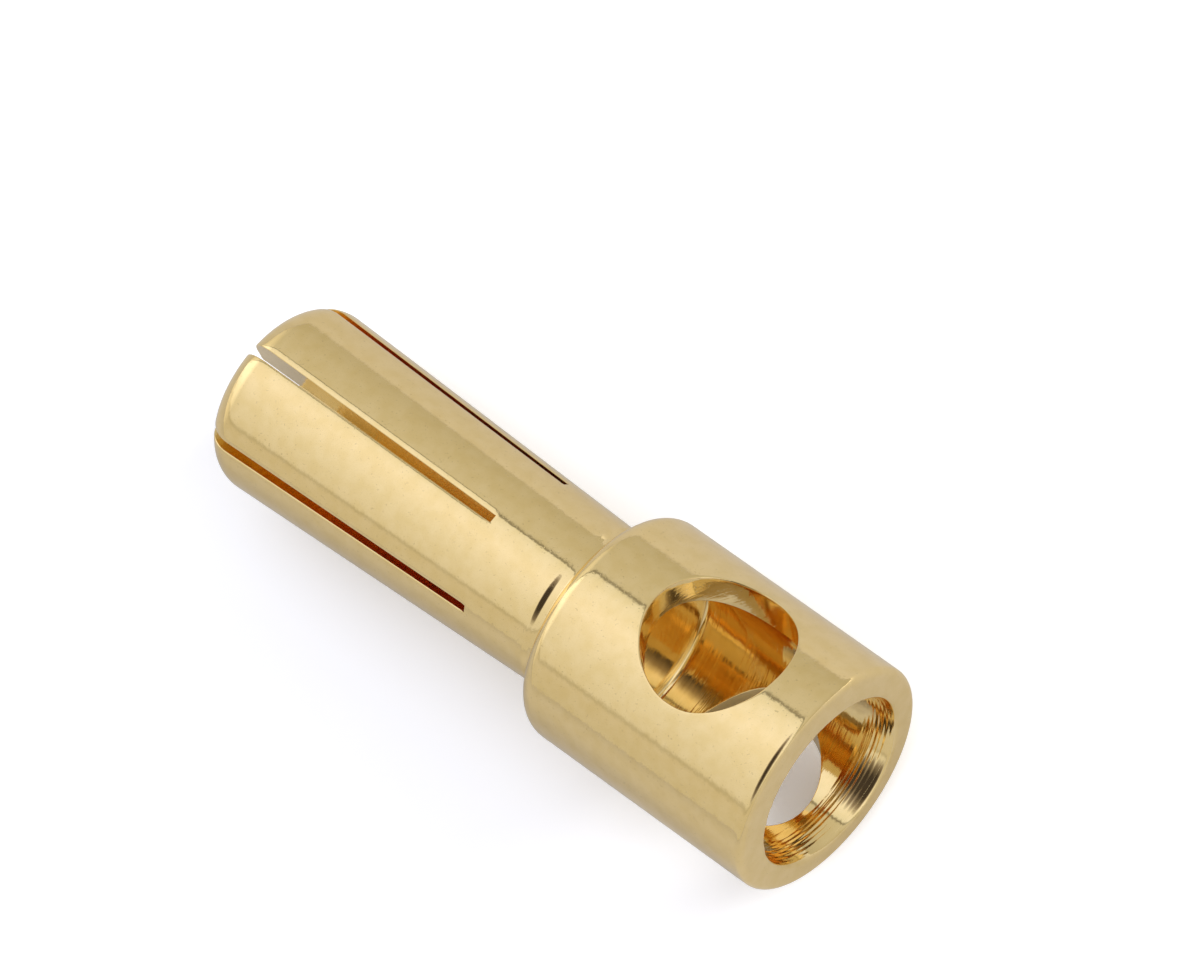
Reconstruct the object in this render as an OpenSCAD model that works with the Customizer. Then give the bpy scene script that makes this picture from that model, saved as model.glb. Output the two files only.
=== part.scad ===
// Male bullet connector for a battery lead. It is one piece of gold-plated
// brass: turned to shape, bored from both ends, cross-drilled through the
// solder cup, and sawn lengthways into six sprung prongs. It stands on the
// mouth of its solder cup, with the pin pointing up along +Z and the cross
// hole along X.

/* [Overall] */
// Length from the mouth of the cup to the tip of the pin
total_l = 20.7; // [20:0.1:24]

/* [Solder cup] */
// Outside diameter of the cup
cup_d = 7.0; // [6.6:0.1:9]
// Length of the cup, from its mouth to its shoulder
cup_l = 8.2; // [7.8:0.1:8.8]
// Radius of the shoulder's outer edge
shoulder_r = 0.6; // [0.2:0.05:0.7]
// Radius of the mouth's outer edge
mouth_outer_r = 0.3; // [0.1:0.05:0.4]
// Radius of the mouth's inner edge
mouth_inner_r = 0.2; // [0.05:0.05:0.25]

/* [Wire bore] */
// Diameter of the bore that takes the wire
wire_bore_d = 5.1; // [4.4:0.1:5.4]
// Depth of the wire bore, from the mouth
wire_bore_l = 6.7; // [6.1:0.1:7.2]
// Radius in the corner at the bottom of the wire bore
wire_bore_corner_r = 0.2; // [0.05:0.05:0.4]

/* [Cross hole] */
// Diameter of the hole drilled across the cup
cross_hole_d = 4.2; // [2:0.1:4.3]
// Height above the mouth at which the cross hole's axis enters the cup
cross_hole_h = 3.65; // [3.4:0.05:3.8]
// Lean of the cross hole, which comes out nearer to the mouth than it goes in
cross_hole_lean_a = 3.7; // [0:0.1:5]

/* [Neck] */
// Diameter of the relief between the shoulder and the pin
neck_d = 4.86; // [4.4:0.02:4.96]
// Length of the relief, from the shoulder to the foot of the pin
neck_l = 0.7; // [0.5:0.05:1]
// Radius of the fillet between the relief and the shoulder
neck_fillet_r = 0.4; // [0.1:0.05:0.45]

/* [Pin] */
// Diameter at the foot of the pin
pin_foot_d = 5.0; // [4.98:0.02:5.4]
// Diameter at the tip of the pin, measured as if the nose were square
pin_tip_d = 5.78; // [5.5:0.02:6.2]
// Radius of the nose
nose_r = 1.0; // [0.3:0.1:1.2]
// Diameter of the bore between the prongs
pin_bore_d = 2.7; // [2.2:0.1:3]
// Depth of that bore to its full diameter, from the tip
pin_bore_l = 10.2; // [9.9:0.1:10.4]
// Angle of the drill point at the bottom of that bore
drill_point_a = 118; // [90:2:140]
// Radius of the inner edge at the tip of the pin
pin_bore_edge_r = 0.1; // [0.05:0.05:0.2]

/* [Slits] */
// Depth of each saw pass from the tip; a pass cuts two slits, face to face
slit_l = [9.3, 9.65, 9.75]; // [8:0.05:9.8]
// Width of a slit at its root
slit_root_w = 0.25; // [0.15:0.01:0.35]
// Width of a slit at the tip, where the prongs stand open
slit_tip_w = 0.33; // [0.2:0.01:0.5]
// Angle of the first saw pass, from the cross hole
slit_a = -12.7; // [-30:0.1:30]

/* [Hidden] */
$fn = 96;
// How far a cutter runs out past the face that it opens
run_out = 1;
// How far a rounding's circle overlaps the sides that it is tangent to
tangent_overlap = 0.0002;
pin_foot_z = cup_l + neck_l;
// Half of the angle between the sides of the pin
pin_taper_a = atan((pin_tip_d - pin_foot_d) / 2 / (total_l - pin_foot_z));
drill_point_l = pin_bore_d / 2 / tan(drill_point_a / 2);

// The part of a corner at the origin that a radius r leaves out. One side of
// the corner runs back along -X, and the other down, leaning in by angle a.
// It runs out past both sides, so that it cuts or joins them cleanly.
module corner(r, a = 0) {
    reach = r * tan(45 + a / 2);
    difference() {
        polygon([
            [-reach, -r],
            [-reach, run_out],
            [run_out, run_out],
            [run_out * cos(a) - reach * sin(a), -run_out * sin(a) - reach * cos(a)]
        ]);
        translate([-reach, -r]) circle(r + tangent_overlap);
    }
}

// The sections below lie in the plane of radius and height.

module cup_section() {
    difference() {
        square([cup_d / 2, cup_l]);
        translate([cup_d / 2, cup_l]) corner(shoulder_r);
        translate([cup_d / 2, 0]) rotate(-90) corner(mouth_outer_r);
    }
}

module neck_section() {
    neck_r = neck_d / 2;
    foot_r = pin_foot_d / 2;
    difference() {
        polygon([
            [0, cup_l],
            [neck_r + neck_fillet_r, cup_l],
            [neck_r, cup_l + neck_fillet_r],
            [neck_r, pin_foot_z - (foot_r - neck_r)],
            [foot_r, pin_foot_z],
            [0, pin_foot_z]
        ]);
        translate([neck_r + neck_fillet_r, cup_l + neck_fillet_r])
            circle(neck_fillet_r + tangent_overlap);
    }
}

module pin_section() {
    difference() {
        polygon([
            [0, pin_foot_z],
            [pin_foot_d / 2, pin_foot_z],
            [pin_tip_d / 2, total_l],
            [0, total_l]
        ]);
        translate([pin_tip_d / 2, total_l]) corner(nose_r, pin_taper_a);
    }
}

module wire_bore_section() {
    difference() {
        translate([0, -run_out]) square([wire_bore_d / 2, wire_bore_l + run_out]);
        translate([wire_bore_d / 2, wire_bore_l]) corner(wire_bore_corner_r);
    }
    translate([wire_bore_d / 2, 0]) rotate(180) corner(mouth_inner_r);
}

module pin_bore_section() {
    full_z = total_l - pin_bore_l;
    polygon([
        [0, full_z - drill_point_l],
        [pin_bore_d / 2, full_z],
        [pin_bore_d / 2, total_l + run_out],
        [0, total_l + run_out]
    ]);
    translate([pin_bore_d / 2, total_l]) rotate(90) corner(pin_bore_edge_r);
}

// The hole goes in at +X and comes out at -X
module cross_hole() {
    translate([cup_d / 2, 0, cross_hole_h])
        rotate([0, -90 - cross_hole_lean_a, 0])
            translate([0, 0, -run_out])
                cylinder(h = cup_d + 3 * run_out, d = cross_hole_d);
}

// The cut of one saw pass, right across the pin
module saw_pass(depth) {
    spread = (slit_tip_w - slit_root_w) / 2 / depth;
    top = depth + run_out;
    top_w = slit_root_w / 2 + spread * top;
    translate([0, 0, total_l - depth])
        rotate([90, 0, 90])
            linear_extrude(pin_tip_d + 2 * run_out, center = true)
                polygon([
                    [-slit_root_w / 2, 0],
                    [slit_root_w / 2, 0],
                    [top_w, top],
                    [-top_w, top]
                ]);
}

module connector() {
    color([0.83, 0.69, 0.38])
        difference() {
            rotate_extrude()
                difference() {
                    union() {
                        cup_section();
                        neck_section();
                        pin_section();
                    }
                    wire_bore_section();
                    pin_bore_section();
                }
            cross_hole();
            for (pass = [0 : len(slit_l) - 1])
                rotate(slit_a + pass * 180 / len(slit_l))
                    saw_pass(slit_l[pass]);
        }
}

connector();
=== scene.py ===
import math

import bmesh
import bpy
import numpy as np
from mathutils import Matrix, Vector


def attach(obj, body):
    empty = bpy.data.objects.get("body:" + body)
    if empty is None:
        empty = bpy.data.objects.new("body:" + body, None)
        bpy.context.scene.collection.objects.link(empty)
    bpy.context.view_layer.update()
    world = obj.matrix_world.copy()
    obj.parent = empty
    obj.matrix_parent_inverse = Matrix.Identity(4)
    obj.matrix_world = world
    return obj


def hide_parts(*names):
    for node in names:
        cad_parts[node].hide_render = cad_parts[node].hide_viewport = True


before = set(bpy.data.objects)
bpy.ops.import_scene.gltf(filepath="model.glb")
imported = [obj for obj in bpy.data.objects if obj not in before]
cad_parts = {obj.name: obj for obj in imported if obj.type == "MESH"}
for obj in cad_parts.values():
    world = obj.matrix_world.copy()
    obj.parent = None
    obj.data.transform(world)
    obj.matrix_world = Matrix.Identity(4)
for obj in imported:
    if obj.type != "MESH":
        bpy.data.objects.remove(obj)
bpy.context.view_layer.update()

MM = 0.001
# Azimuths and elevations are in degrees.
CAMERA_SIDE = (-24.973, -26.376)
DARK_SIDE = (-46.0, -28.0)
TABLE_AZIMUTH = -27.0    # the way that the table faces
LAMP_SIDE = (38, -34)

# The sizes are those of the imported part, in millimetres, apart from crisper edges at the mouth.
CUP_R, CUP_L, SHOULDER_R, MOUTH_OUTER_R, MOUTH_INNER_R = 3.5, 8.2, 0.6, 0.2, 0.1
BORE_R, BORE_L, BORE_CORNER_R = 2.55, 6.7, 0.2
HOLE_R, HOLE_H, HOLE_LEAN = 2.1, 3.65, math.radians(3.7)
NECK_R, NECK_L, NECK_FILLET_R = 2.43, 0.7, 0.4
FOOT_R, TIP_R, NOSE_R, TOTAL_L = 2.5, 2.89, 1.0, 20.7
PIN_BORE_R, PIN_BORE_L, PIN_BORE_EDGE_R, DRILL_POINT = 1.35, 10.2, 0.1, math.radians(118)
SLIT_L, SLIT_ROOT_W, SLIT_TIP_W, SLIT_A = (9.3, 9.65, 9.75), 0.25, 0.33, -12.7
FOOT_Z = CUP_L + NECK_L
SHOULDER_Z = CUP_L - SHOULDER_R
BORE_CORNER_Z = BORE_L - BORE_CORNER_R
TAPER = math.atan((TIP_R - FOOT_R) / (TOTAL_L - FOOT_Z))
TIP_TOUCH = (2.87, 19.8)  # radius and height at which the nose touches the table

# The fine form that only this mesh has.
RIDGE_H = 0.0036         # the boring tool's ridges stand this far off the wall, on average
RIDGE_PITCH = 0.118
RIDGE_END = 1.02         # depth of the last ridge
STEP_L = 0.2             # length of the soft step at the foot of the pin
MOUTH_SHIFT = 0.24       # how far the mouth of the bore wanders off the axis
MOUTH_FLARE = 0.09       # how much wider it is there
MOUTH_SHIFT_AZIMUTH = 152
RAGGED_H, RAGGED_L = 0.03, 0.35    # how far the ragged edge of the bore stands in, and how deep it goes
RAGGED_AZIMUTH, RAGGED_SPAN = -75, 60
RIM_EASE, RIM_EASE_WAVER = 0.066, 0.024    # how far the rim of the cross hole is rounded
BURR_H = 0.03            # how far the burr on that rim stands off the cup
RIM_MARGIN = 0.05        # width of a narrow ring of faces round that rim
# How far in from a sawn edge a column lies, and how far the surface falls away there.
SLIT_EASE = ((0.0, 0.022), (0.012, 0.008), (0.035, 0.0))
SLIT_EASE_INSIDE = 0.3   # share of that fall in the bore between the prongs

# How finely the mesh is drawn.
CUP_STEPS = 192          # columns round the cup
RIM_STEPS = 5
RIDGE_STEPS = 56
PRONG_STEPS, SLIT_STEPS = 22, 4
NECK_ROW_R = 2.87        # the row on the shoulder where the pin's columns take over from the cup's
CENTRE_R = 0.3           # nearer to the axis than this, the pin's columns close in evenly


def polar(azimuth, elevation):
    """The unit vector at an azimuth from +X and an elevation, in degrees."""
    a, e = math.radians(azimuth), math.radians(elevation)
    return Vector((math.cos(a) * math.cos(e), math.sin(a) * math.cos(e), math.sin(e)))


# ---------------------------------------------------------------- node helpers
class Nodes:
    """A short way to write a node tree. A value is a plain one or another node's output."""

    def __init__(self, tree):
        self.tree = tree
        tree.nodes.clear()

    def add(self, kind, **settings):
        node = self.tree.nodes.new(kind)
        for name, value in settings.items():
            setattr(node, name, value)
        return node

    def put(self, socket, value):
        if isinstance(value, bpy.types.NodeSocket):
            self.tree.links.new(value, socket)
        else:
            socket.default_value = value

    def math(self, operation, *values, clamp=False):
        node = self.add("ShaderNodeMath", operation=operation, use_clamp=clamp)
        for socket, value in zip(node.inputs, values):
            self.put(socket, value)
        return node.outputs[0]

    def ramp(self, value, stops):
        node = self.add("ShaderNodeValToRGB")
        elements = node.color_ramp.elements
        while len(elements) > 1:
            elements.remove(elements[-1])
        for i, (place, colour) in enumerate(stops):
            element = elements[0] if i == 0 else elements.new(place)
            element.position = place
            element.color = (*colour, 1)
        self.put(node.inputs[0], value)
        return node.outputs[0]

    def blend(self, a, b, factor, kind="MIX"):
        node = self.add("ShaderNodeMix", data_type="RGBA", blend_type=kind)
        self.put(node.inputs["Factor"], factor)
        self.put(node.inputs["A"], a)
        self.put(node.inputs["B"], b)
        return node.outputs["Result"]


def tree_of(name):
    material = bpy.data.materials.new(name)
    material.use_nodes = True
    return material, Nodes(material.node_tree)


# ---------------------------------------------------------------- the world
SHOWN_IN_METAL = 0.06    # how much of the white background the metal shows


def background_share(n):
    """1 for what the camera sees directly, and a small share for what it sees in the metal."""
    path = n.add("ShaderNodeLightPath")
    mirrored = n.math("ADD", path.outputs["Is Glossy Ray"], path.outputs["Is Transmission Ray"])
    return n.math("MULTIPLY_ADD", mirrored, SHOWN_IN_METAL, path.outputs["Is Camera Ray"], clamp=True)


def make_world():
    world = bpy.data.worlds.new("light_tent")
    bpy.context.scene.world = world
    world.use_nodes = True
    n = Nodes(world.node_tree)
    direction = n.add("ShaderNodeTexCoord").outputs["Generated"]
    parts = n.add("ShaderNodeSeparateXYZ")
    n.put(parts.inputs[0], direction)
    azimuth = n.math("ARCTAN2", parts.outputs[1], parts.outputs[0])
    turn = n.math("MULTIPLY_ADD", azimuth, 0.5 / math.pi, 0.5)

    def at(degrees):
        return degrees / 360 + 0.5

    # The tent's panels, by azimuth: the bright one, the gap at its edge, and the dim ones round it.
    light = n.ramp(turn, [
        (at(-120), (0.64, 0.62, 0.57)),
        (at(-92), (0.68, 0.65, 0.60)),
        (at(-88), (0.50, 0.48, 0.42)),
        (at(-85), (0.78, 0.77, 0.76)),
        (at(-60), (0.88, 0.88, 0.90)),
        (at(-24), (1.09, 1.09, 1.18)),
        (at(-4), (1.02, 1.03, 1.10)),
        (at(4), (0.93, 0.95, 1.00)),
        (at(5.5), (0.91, 0.93, 0.97)),
        (at(7), (0.20, 0.19, 0.16)),
        (at(8.5), (0.20, 0.19, 0.16)),
        (at(10), (0.68, 0.67, 0.64)),
        (at(40), (0.60, 0.58, 0.52)),
        (at(66), (0.52, 0.50, 0.44)),
    ])
    # Overhead it is brighter: all below is dimmed first, and then the whole is lifted back.
    dim = 0.7
    overhead = n.ramp(parts.outputs[2], [(0.70, (dim, dim, dim)), (0.86, (1, 1, 1))])
    light = n.blend(light, overhead, 1.0, "MULTIPLY")
    light = n.blend(light, (1 / dim, 1 / dim, 1 / dim, 1), 1.0, "MULTIPLY")
    # In the metal, the photographer's dark side of the room shows as a soft patch.
    towards = n.add("ShaderNodeVectorMath", operation="DOT_PRODUCT")
    n.put(towards.inputs[0], direction)
    n.put(towards.inputs[1], polar(*DARK_SIDE))
    patch = n.ramp(towards.outputs["Value"], [
        (math.cos(math.radians(35)), (1, 1, 1)),
        (math.cos(math.radians(26)), (0.32, 0.28, 0.25)),
        (math.cos(math.radians(14)), (0.06, 0.05, 0.045)),
    ])
    glossy = n.add("ShaderNodeLightPath").outputs["Is Glossy Ray"]
    white = n.blend(light, (1, 1, 1, 1), background_share(n))
    back = n.add("ShaderNodeBackground")
    n.put(back.inputs["Color"], n.blend(white, patch, glossy, "MULTIPLY"))
    out = n.add("ShaderNodeOutputWorld")
    n.put(out.inputs[0], back.outputs[0])


make_world()


# ---------------------------------------------------------------- the stage
def floor_material(name):
    """A matt white that is clear from behind, so that no plane hides the connector in another view."""
    material, n = tree_of(name)
    cloth = n.add("ShaderNodeBsdfDiffuse")
    # The camera sees it as pure white, and the metal and the shadows see it darker.
    lit, white = (0.56, 0.545, 0.525, 1), (1.19, 1.21, 1.25, 1)
    n.put(cloth.inputs["Color"], n.blend(lit, white, background_share(n)))
    clear = n.add("ShaderNodeBsdfTransparent")
    mix = n.add("ShaderNodeMixShader")
    n.put(mix.inputs[0], n.add("ShaderNodeNewGeometry").outputs["Backfacing"])
    n.put(mix.inputs[1], cloth.outputs[0])
    n.put(mix.inputs[2], clear.outputs[0])
    out = n.add("ShaderNodeOutputMaterial")
    n.put(out.inputs[0], mix.outputs[0])
    return material


def plane(name, centre, normal):
    half = 500 * MM
    mesh = bpy.data.meshes.new(name)
    corners = [(-half, -half, 0), (half, -half, 0), (half, half, 0), (-half, half, 0)]
    mesh.from_pydata(corners, [], [(0, 1, 2, 3)])
    mesh.materials.append(floor_material(name + "_top"))
    obj = bpy.data.objects.new(name, mesh)
    obj.matrix_world = Matrix.Translation(centre) @ normal.to_track_quat("Z", "Y").to_matrix().to_4x4()
    bpy.context.scene.collection.objects.link(obj)
    return obj


def make_stage():
    """The table that the connector lies on, and a floor under its mouth that only the camera sees."""
    facing = polar(TABLE_AZIMUTH, 0)
    cup_touch = -facing * CUP_R * MM + Vector((0, 0, SHOULDER_Z * MM))
    tip_touch = -facing * TIP_TOUCH[0] * MM + Vector((0, 0, TIP_TOUCH[1] * MM))
    across = Vector((0, 0, 1)).cross(facing)
    upward = across.cross((tip_touch - cup_touch).normalized()).normalized()
    if upward.dot(facing) < 0:
        upward = -upward
    plane("table", cup_touch, upward)
    floor = plane("floor", Vector((0, 0, 0)), Vector((0, 0, 1)))
    for ray in ("diffuse", "glossy", "transmission", "shadow", "volume_scatter"):
        setattr(floor, "visible_" + ray, False)


def shadow_lamp():
    """A soft lamp for the shadow on the table. The metal doesn't mirror it."""
    data = bpy.data.lights.new("shadow_lamp", "AREA")
    data.shape = "DISK"
    data.size = 140 * MM
    data.energy = 0.45
    data.color = (1.0, 0.99, 0.97)
    lamp = bpy.data.objects.new("shadow_lamp", data)
    bpy.context.scene.collection.objects.link(lamp)
    way = polar(*LAMP_SIDE)
    turn = way.to_track_quat("Z", "Y").to_matrix().to_4x4()
    distance, middle = 250 * MM, Vector((0, 0, 10)) * MM
    lamp.matrix_world = Matrix.Translation(way * distance + middle) @ turn
    lamp.visible_glossy = False
    lamp.visible_camera = False


make_stage()
shadow_lamp()


# ---------------------------------------------------------------- the gold
def gold():
    material, n = tree_of("gold_plate")
    parts = n.add("ShaderNodeSeparateXYZ")
    n.put(parts.inputs[0], n.add("ShaderNodeTexCoord").outputs["Object"])
    x, y, z = (n.math("DIVIDE", parts.outputs[i], MM) for i in range(3))
    radius = n.math("SQRT", n.math("MULTIPLY_ADD", x, x, n.math("MULTIPLY", y, y)))
    along = n.math("ADD", radius, z)

    def noise(x_scale, y_scale, z_scale, third=z, detail=2.0):
        place = n.add("ShaderNodeCombineXYZ")
        for socket, value, scale in zip(place.inputs, (x, y, third), (x_scale, y_scale, z_scale)):
            n.put(socket, n.math("MULTIPLY", value, scale))
        texture = n.add("ShaderNodeTexNoise")
        n.put(texture.inputs["Vector"], place.outputs[0])
        n.put(texture.inputs["Scale"], 1.0)
        n.put(texture.inputs["Detail"], detail)
        return texture.outputs["Fac"]

    # Inside the wire bore the tool marks are coarser.
    inside = n.math("LESS_THAN", radius, BORE_R + 0.25)
    inside = n.math("MULTIPLY", inside, n.math("LESS_THAN", z, BORE_L + 0.05))
    outside = n.math("SUBTRACT", 1.0, inside)
    turned = noise(0.25, 0.25, 9.0, third=along, detail=2.0)
    uneven = noise(1.3, 1.3, 5.0, detail=3.0)
    peel = noise(4.0, 4.0, 4.0)
    grit = noise(13.0, 13.0, 13.0, detail=1.0)
    cloud = noise(0.6, 0.6, 0.6)
    # Only the peaks of the grit become specks.
    specks_from, sharpness = 0.665, 9.0
    specks = n.math("SUBTRACT", grit, specks_from, clamp=True)
    specks = n.math("MULTIPLY", specks, sharpness, clamp=True)
    specks = n.math("MULTIPLY", specks, outside)
    # Heights are in millimetres, and the noises' scales are per millimetre.
    marks_h, more_in_bore, uneven_h, peel_h, speck_h = 0.0012, 0.0045, 0.0055, 0.0022, -0.001
    height = n.math("MULTIPLY", turned, n.math("MULTIPLY_ADD", inside, more_in_bore, marks_h))
    height = n.math("MULTIPLY_ADD", uneven, uneven_h, height)
    height = n.math("MULTIPLY_ADD", n.math("MULTIPLY", peel, outside), peel_h, height)
    height = n.math("MULTIPLY_ADD", specks, speck_h, height)
    bump = n.add("ShaderNodeBump")
    n.put(bump.inputs["Strength"], 1.0)
    n.put(bump.inputs["Distance"], MM)
    n.put(bump.inputs["Height"], height)

    mottle = noise(2.4, 2.4, 2.4, detail=4.0)
    tint = n.ramp(mottle, [(0.35, (0.862, 0.662, 0.310)), (0.65, (0.905, 0.708, 0.360))])
    colour = n.blend(tint, (0.33, 0.25, 0.14, 1), n.math("MULTIPLY", specks, 0.24))
    dull = n.math("MULTIPLY_ADD", cloud, 0.06, 0.055)
    dull = n.math("MULTIPLY_ADD", specks, 0.12, dull)
    shader = n.add("ShaderNodeBsdfPrincipled")
    n.put(shader.inputs["Base Color"], colour)
    n.put(shader.inputs["Metallic"], 1.0)
    n.put(shader.inputs["Roughness"], dull)
    n.put(shader.inputs["Normal"], bump.outputs[0])
    out = n.add("ShaderNodeOutputMaterial")
    n.put(out.inputs[0], shader.outputs[0])
    return material


# ---------------------------------------------------------------- the shape
class Shell:
    """Points and faces of one mesh, gathered strip by strip and welded at the end."""

    def __init__(self):
        self.points, self.faces = [], []

    def add(self, points):
        start = len(self.points)
        self.points.extend(tuple(float(c) for c in p) for p in points)
        return list(range(start, start + len(points)))

    def strip(self, a, b):
        """Quads between two closed rows with as many points."""
        for i in range(len(a)):
            j = (i + 1) % len(a)
            self.faces.append((a[i], a[j], b[j], b[i]))

    def rows(self, rows):
        made = [self.add(row) for row in rows]
        for a, b in zip(made, made[1:]):
            self.strip(a, b)
        return made

    def object(self, name, material):
        mesh = bpy.data.meshes.new(name)
        mesh.from_pydata([Vector(p) * MM for p in self.points], [], self.faces)
        mesh.materials.append(material)
        work = bmesh.new()
        work.from_mesh(mesh)
        bmesh.ops.remove_doubles(work, verts=work.verts, dist=1e-4 * MM)
        bmesh.ops.recalc_face_normals(work, faces=work.faces)
        for face in work.faces:
            face.smooth = True
        work.to_mesh(mesh)
        work.free()
        mesh.set_sharp_from_angle(angle=math.radians(32))
        obj = bpy.data.objects.new(name, mesh)
        bpy.context.scene.collection.objects.link(obj)
        return obj


def unwound(angles):
    """The same angles without a jump where they pass a half turn."""
    out = [angles[0]]
    for angle in angles[1:]:
        out.append(out[-1] + half_turn(angle - out[-1]))
    return out


def half_turn(angle):
    """The same angle between minus and plus a half turn."""
    return (angle + math.pi) % (2 * math.pi) - math.pi


def bridge(shell, a, a_angles, b, b_angles):
    """Triangles between two closed rows whose angles both go once round, in the same direction."""
    ua, ub = unwound(a_angles), unwound(b_angles)
    sign = 1 if ua[-1] > ua[0] else -1
    ua, ub = [sign * x for x in ua], [sign * x for x in ub]
    # The second row starts where it is nearest to the first row's start.
    shift = round((ua[0] - ub[0]) / (2 * math.pi)) * 2 * math.pi
    ub = [x + shift for x in ub]
    start = min(range(len(ub)), key=lambda k: abs(half_turn(ub[k] - ua[0])))
    b = b[start:] + b[:start]
    ub = ub[start:] + [x + 2 * math.pi for x in ub[:start]]
    if ub[0] - ua[0] > math.pi:
        ub = [x - 2 * math.pi for x in ub]
    elif ua[0] - ub[0] > math.pi:
        ub = [x + 2 * math.pi for x in ub]
    ua.append(ua[0] + 2 * math.pi)
    ub.append(ub[0] + 2 * math.pi)
    # Each triangle steps on along the row whose next point comes first.
    i = j = 0
    while i < len(a) or j < len(b):
        next_a = ua[i + 1] if i < len(a) else math.inf
        next_b = ub[j + 1] if j < len(b) else math.inf
        if next_a <= next_b:
            shell.faces.append((a[i], a[(i + 1) % len(a)], b[j % len(b)]))
            i += 1
        else:
            shell.faces.append((a[i % len(a)], b[(j + 1) % len(b)], b[j]))
            j += 1


def arc(centre, radius, start, end, steps):
    """Points of radius and height on an arc, from one angle to the other, in degrees."""
    points = []
    for i in range(steps + 1):
        angle = math.radians(start + (end - start) * i / steps)
        points.append((centre[0] + radius * math.cos(angle), centre[1] + radius * math.sin(angle)))
    return points


def line(a, b, steps):
    shares = [i / steps for i in range(steps + 1)]
    return [(a[0] + (b[0] - a[0]) * t, a[1] + (b[1] - a[1]) * t) for t in shares]


def spin(profile, angles):
    return [[(r * math.cos(a), r * math.sin(a), z) for a in angles] for r, z in profile]


def eased(t):
    """Rises smoothly from 0 to 1."""
    t = min(1.0, max(0.0, t))
    return t * t * (3 - 2 * t)


def waver(angle, *waves):
    """A smooth irregular number between about -1 and 1, from waves of (how many round, phase, share)."""
    return sum(share * math.sin(count * angle + phase) for count, phase, share in waves)


# ---------------------------------------------------------------- the cup
CUP_ANGLES = [math.radians(-90 + 360 * i / CUP_STEPS) for i in range(CUP_STEPS)]


def on_hole(angle, radius, side):
    """The point where a line of the cross hole's wall meets a cylinder round the axis."""
    y = HOLE_R * math.cos(angle)
    x = side * math.sqrt(radius * radius - y * y)
    up = HOLE_R * math.sin(angle)
    s = (CUP_R - up * math.sin(HOLE_LEAN) - x) / math.cos(HOLE_LEAN)
    return np.array((x, y, HOLE_H + up * math.cos(HOLE_LEAN) - s * math.sin(HOLE_LEAN)))


def half_border(low, high, upright=36):
    """The outline of half of a wall, once round, as turns from its middle and heights."""
    half = CUP_STEPS // 2
    border = [(-math.pi / 2 + math.pi * i / half, low) for i in range(half)]
    border += [(math.pi / 2, low + (high - low) * i / upright) for i in range(upright)]
    border += [(math.pi / 2 - math.pi * i / half, high) for i in range(half)]
    border += [(-math.pi / 2, high - (high - low) * i / upright) for i in range(upright)]
    return border


def holed_wall(shell, radius, low, high, side, edge, lip, rings):
    """Half of a cylinder wall with the cross hole in it.

    At each angle round the hole, edge says how far its rim is rounded, and lip how far a burr
    stands off the wall. It returns the innermost row, which lies inside the hole, and the
    angles round the hole of that row's points.
    """
    middle = 0.0 if side > 0 else math.pi
    centre_z = on_hole(0.0, radius, side)[2]
    into = 1 if radius > (CUP_R + BORE_R) / 2 else -1      # which way the wall's solid lies
    angles, columns = [], []
    for turn, z in half_border(low, high):
        angle = math.atan2(z - centre_z, side * radius * turn)
        rim = on_hole(angle, radius, side)
        rim_turn = half_turn(math.atan2(rim[1], rim[0]) - middle)
        away = np.array((radius * (turn - rim_turn), z - rim[2]))
        length = float(np.hypot(*away))
        away /= length

        def at(d):
            a = rim_turn + away[0] * d / radius + middle
            return np.array((radius * math.cos(a), radius * math.sin(a), rim[2] + away[1] * d))

        # The rounded rim is a curve from inside the hole, by its corner, to the wall.
        e = edge(angle)
        deep = on_hole(angle, radius - into * e, side)
        corner = rim * (1 + np.array((1, 1, 0)) * into * lip(angle) / radius)
        column = []
        for i in range(RIM_STEPS + 1):
            t = i / RIM_STEPS
            column.append((1 - t) ** 2 * deep + 2 * t * (1 - t) * corner + t * t * at(e))
        near = e + RIM_MARGIN
        column.append(at(near))
        for i in range(2, rings + 1):
            column.append(at(near + (length - near) * (i / rings) ** 1.5))
        columns.append(column)
        angles.append(angle)
    rows = [[column[i] for column in columns] for i in range(len(columns[0]))]
    return shell.rows(rows)[0], angles


def rim_edge(angle):
    return RIM_EASE + RIM_EASE_WAVER * waver(angle, (3, 0.4, 0.5), (7, 2.0, 0.3), (13, 1.0, 0.2))


def rim_burr(angle):
    """The burr is on the flanks of the hole, so that it stays within the cup's own width."""
    rough = max(0.0, waver(angle, (2, 4.4, 0.6), (5, 0.7, 0.4), (11, 2.0, 0.3)))
    return BURR_H * math.cos(angle) ** 2 * rough


def inner_edge(angle):
    return 0.03


def inner_burr(angle):
    return 0.01 * max(0.0, waver(angle, (3, 1.0, 0.6), (8, 0.7, 0.4)))


def wander(point):
    """Moves a point of the mouth: its bore runs off the axis, and the bore's edge is a little ragged."""
    x, y, z = point
    r, a = math.hypot(x, y), math.atan2(y, x)
    face_r = CUP_R - MOUTH_OUTER_R
    face_w = face_r - BORE_R - MOUTH_INNER_R
    share = min(1.0, max(0.0, face_r - r) / face_w) * max(0.0, 1 - z / RIDGE_END) ** 1.5
    off = polar(MOUTH_SHIFT_AZIMUTH, 0) * MOUTH_SHIFT * share
    off += polar(math.degrees(a), 0) * MOUTH_FLARE * share
    shrink = 1
    if r < BORE_R + MOUTH_INNER_R * 0.7:
        near = eased(1 - abs(a - math.radians(RAGGED_AZIMUTH)) / math.radians(RAGGED_SPAN))
        ragged = max(0.0, waver(a, (19, 0.3, 0.5), (31, 1.1, 0.4), (53, 2.0, 0.3)))
        shrink = 1 - RAGGED_H * ragged * near * share * eased(1 - z / RAGGED_L) / r
    return (x * shrink + off.x, y * shrink + off.y, z)


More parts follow.
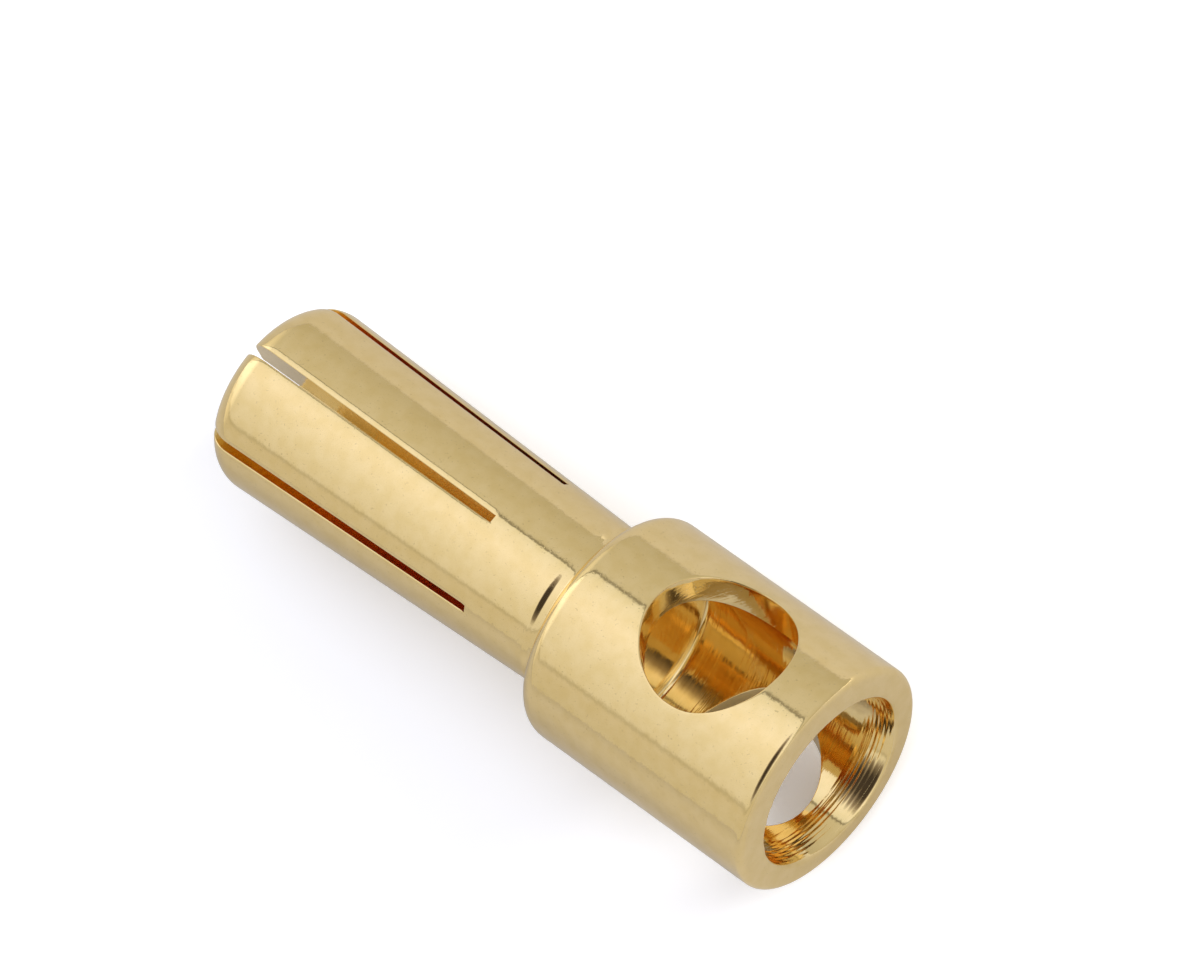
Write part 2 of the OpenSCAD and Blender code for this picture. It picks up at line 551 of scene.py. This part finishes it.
def ridges():
    """The wall just inside the mouth, where the boring tool has left ridges."""
    length = RIDGE_END - MOUTH_INNER_R
    wall = []
    for i in range(1, RIDGE_STEPS + 1):
        z = MOUTH_INNER_R + length * i / RIDGE_STEPS
        fade = math.sin(math.pi * min(1.0, (z - MOUTH_INNER_R) / length)) ** 0.6
        # A second, longer wave makes the ridges uneven.
        wave = math.sin(2 * math.pi * z / RIDGE_PITCH)
        wave += 0.5 * math.sin(2 * math.pi * z / (RIDGE_PITCH * 1.73) + 1)
        wall.append((BORE_R - RIDGE_H * (1 + wave / 1.5) * fade, z))
    wall[-1] = (BORE_R, RIDGE_END)
    return wall


def build_cup(shell):
    # The mouth: the outer edge, the flat ring, the inner edge and the ridges.
    outer = arc((CUP_R - MOUTH_OUTER_R, MOUTH_OUTER_R), MOUTH_OUTER_R, 0, -90, steps=10)
    inner = arc((BORE_R + MOUTH_INNER_R, MOUTH_INNER_R), MOUTH_INNER_R, -90, -180, steps=8)
    ring = line(outer[-1], inner[0], steps=3)[1:-1]
    mouth = spin(outer + ring + inner + ridges(), CUP_ANGLES)
    shell.rows([[wander(p) for p in row] for row in mouth])
    # The walls with the cross hole, and the hole's own wall between them.
    for side in (1, -1):
        outside, angles = holed_wall(
            shell, CUP_R, MOUTH_OUTER_R, SHOULDER_Z, side, rim_edge, rim_burr, rings=22)
        inside, inner_angles = holed_wall(
            shell, BORE_R, RIDGE_END, BORE_CORNER_Z, side, inner_edge, inner_burr, rings=16)
        tunnel = []
        for share in (0.2, 0.4, 0.6, 0.8):
            tunnel.append([on_hole(a, CUP_R + (BORE_R - CUP_R) * share, side) for a in angles])
        made = shell.rows(tunnel)
        shell.strip(outside, made[0])
        bridge(shell, made[-1], angles, inside, inner_angles)
    corner = arc((BORE_R - BORE_CORNER_R, BORE_CORNER_Z), BORE_CORNER_R, 0, 90, steps=6)
    bottom = line(corner[-1], (0.0, BORE_L), steps=14)[1:]
    shell.rows(spin(corner + bottom, CUP_ANGLES))
    shoulder = arc((CUP_R - SHOULDER_R, SHOULDER_Z), SHOULDER_R, 0, 90, steps=14)
    return shell.rows(spin(shoulder, CUP_ANGLES))[-1]


# ---------------------------------------------------------------- the pin
NOSE_CENTRE = (TIP_R - NOSE_R * math.tan(math.pi / 4 + TAPER / 2), TOTAL_L - NOSE_R)
NOSE = arc(NOSE_CENTRE, NOSE_R, -math.degrees(TAPER), 90, steps=20)


def levels(start, *spans):
    """Heights from the start on through the end of each span, in as many steps as the span says."""
    heights = [start]
    for end, steps in spans:
        last = heights[-1]
        heights += [last + (end - last) * i / steps for i in range(1, steps + 1)]
    return heights


def pin_outside():
    """Points of radius and height up the neck and the pin, and over the nose to the edge of its bore."""
    low_root, mid_root, high_root = sorted(TOTAL_L - depth for depth in SLIT_L)
    step_r = FOOT_R - NECK_R
    top_z = FOOT_Z + 0.01
    profile = [(NECK_ROW_R, CUP_L)]
    profile += arc((NECK_R + NECK_FILLET_R, CUP_L + NECK_FILLET_R), NECK_FILLET_R, -90, -180, steps=12)
    # The relief runs out into the foot of the pin in a short soft curve.
    start_z = top_z - STEP_L
    profile += [(NECK_R + step_r * eased(i / 10), start_z + STEP_L * i / 10) for i in range(11)]
    heights = levels(top_z, (low_root, 16), (mid_root, 1), (high_root, 4), (NOSE[0][1], 60))
    profile += [(FOOT_R + (z - FOOT_Z) * math.tan(TAPER), z) for z in heights[1:]]
    profile += NOSE[1:]
    edge_r = PIN_BORE_R + PIN_BORE_EDGE_R
    profile += line(NOSE[-1], (edge_r, TOTAL_L), steps=4)[1:]
    profile += arc((edge_r, TOTAL_L - PIN_BORE_EDGE_R), PIN_BORE_EDGE_R, 90, 180, steps=5)[1:]
    return profile


def pin_inside():
    """Points of radius and height down the bore between the prongs, to its drill point."""
    low_root, mid_root, high_root = sorted(TOTAL_L - depth for depth in SLIT_L)
    full_z = TOTAL_L - PIN_BORE_L
    apex = full_z - PIN_BORE_R / math.tan(DRILL_POINT / 2)
    heights = levels(TOTAL_L - PIN_BORE_EDGE_R, (high_root, 24), (mid_root, 4), (low_root, 1), (full_z, 4))
    profile = [(PIN_BORE_R, z) for z in heights[1:]]
    return profile + line((PIN_BORE_R, full_z), (0.0, apex), steps=8)[1:]


def half_slit(r, z, depth):
    """Half of the angle that a slit takes up at a radius and height. It opens towards the tip."""
    up = max(0.0, z - (TOTAL_L - depth))
    half_w = (SLIT_ROOT_W + (SLIT_TIP_W - SLIT_ROOT_W) * up / depth) / 2
    return math.asin(half_w / max(r, CENTRE_R)) * min(1.0, r / CENTRE_R)


def pin_columns(r, z):
    """The angles of a row's points, and how far each falls away. A prong follows each slit."""
    turns, drops = [], []
    between_steps = PRONG_STEPS - 2 * (len(SLIT_EASE) - 1)
    for k in range(6):
        depth, next_depth = SLIT_L[k % 3], SLIT_L[(k + 1) % 3]
        cut = z > TOTAL_L - depth + 1e-9
        next_cut = z > TOTAL_L - next_depth + 1e-9
        middle = math.radians(SLIT_A + 60 * k)
        half = half_slit(r, z, depth)
        start = middle + half
        end = math.radians(SLIT_A + 60 * (k + 1)) - half_slit(r, z, next_depth)
        turns += [middle - half + 2 * half * i / SLIT_STEPS for i in range(SLIT_STEPS)]
        drops += [SLIT_EASE[0][1] if cut else 0.0] + [0.0] * (SLIT_STEPS - 1)
        if r > CENTRE_R:
            insets = [d / max(r, 1.0) for d, _ in SLIT_EASE]
        else:
            insets = [(end - start) * 0.02 * i for i in range(len(SLIT_EASE))]
        first, last = start + insets[-1], end - insets[-1]
        turns += [start + inset for inset in insets]
        turns += [first + (last - first) * i / between_steps for i in range(1, between_steps)]
        turns += [end - inset for inset in reversed(insets[1:])]
        drops += [drop if cut else 0.0 for _, drop in SLIT_EASE]
        drops += [0.0] * (between_steps - 1)
        drops += [drop if next_cut else 0.0 for _, drop in reversed(SLIT_EASE[1:])]
    return turns, drops


def pin_row(r, z, outside):
    row = []
    for turn, drop in zip(*pin_columns(r, z)):
        if not outside:
            fallen_r, fallen_z = r + drop * SLIT_EASE_INSIDE, z
        elif r < PIN_BORE_R + PIN_BORE_EDGE_R + 1e-6:
            fallen_r, fallen_z = r, z
        else:
            # The edge falls away square to the surface.
            out = Vector((1, 0))
            if z >= NOSE[0][1] - 1e-9:
                out = Vector((max(0.0, r - NOSE_CENTRE[0]), z - NOSE_CENTRE[1])).normalized()
            fallen_r, fallen_z = r - out.x * drop, z - out.y * drop
        row.append((fallen_r * math.cos(turn), fallen_r * math.sin(turn), fallen_z))
    return row


def build_pin(shell, shoulder_row):
    outside, inside = pin_outside(), pin_inside()
    profile = outside + inside
    rows = [pin_row(r, z, index < len(outside)) for index, (r, z) in enumerate(profile)]
    made = [shell.add(row) for row in rows]
    width = len(rows[0])
    block = width // 6
    # The skin, left open where the slits are.
    for index in range(len(rows) - 1):
        low = min(profile[index][1], profile[index + 1][1])
        for column in range(width):
            k, i = divmod(column, block)
            if i < SLIT_STEPS and low >= TOTAL_L - SLIT_L[k % 3] - 1e-9:
                continue
            after = (column + 1) % width
            shell.faces.append((made[index][column], made[index][after],
                                made[index + 1][after], made[index + 1][column]))
    # The sawn walls and the roots of the slits.
    for k in range(6):
        root = TOTAL_L - SLIT_L[k % 3]
        sawn = [i for i, (r, z) in enumerate(profile) if z >= root - 1e-9]
        span = range(k * block, k * block + SLIT_STEPS + 1)
        for column in (span[0], span[-1]):
            shell.faces.append(tuple(made[i][column] for i in sawn))
        first, last = made[sawn[0]], made[sawn[-1]]
        shell.faces.append(tuple([first[c] for c in span] + [last[c] for c in reversed(span)]))
    pin_angles = [math.atan2(y, x) for x, y, _ in rows[0]]
    bridge(shell, shoulder_row, CUP_ANGLES, made[0], pin_angles)


shell = Shell()
build_pin(shell, build_cup(shell))
connector = shell.object("turned_connector", gold())
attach(connector, "root")
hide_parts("connector")


# ---------------------------------------------------------------- the camera
def make_camera():
    """Far off with a long lens, rolled so that the nose is at the upper left."""
    data = bpy.data.cameras.new("camera")
    data.lens = 255
    data.sensor_width = 36
    data.clip_start = 0.01
    data.clip_end = 10
    aim = Vector((5.233, 0.941, 8.540)) * MM
    distance = 226.0 * MM
    roll = math.radians(-54.893)
    back = polar(*CAMERA_SIDE)
    level = Vector((0, 0, 1)).cross(back).normalized()
    right = level * math.cos(roll) + back.cross(level) * math.sin(roll)
    turn = Matrix((right, back.cross(right), back)).transposed().to_4x4()
    camera = bpy.data.objects.new("camera", data)
    camera.matrix_world = Matrix.Translation(aim + back * distance) @ turn
    bpy.context.scene.collection.objects.link(camera)
    return camera


bpy.context.scene.camera = make_camera()
bpy.context.scene.view_settings.view_transform = "Standard"
# Light needs many bounces to get out of the slits.
bpy.context.scene.cycles.glossy_bounces = 32
bpy.context.scene.cycles.max_bounces = 32
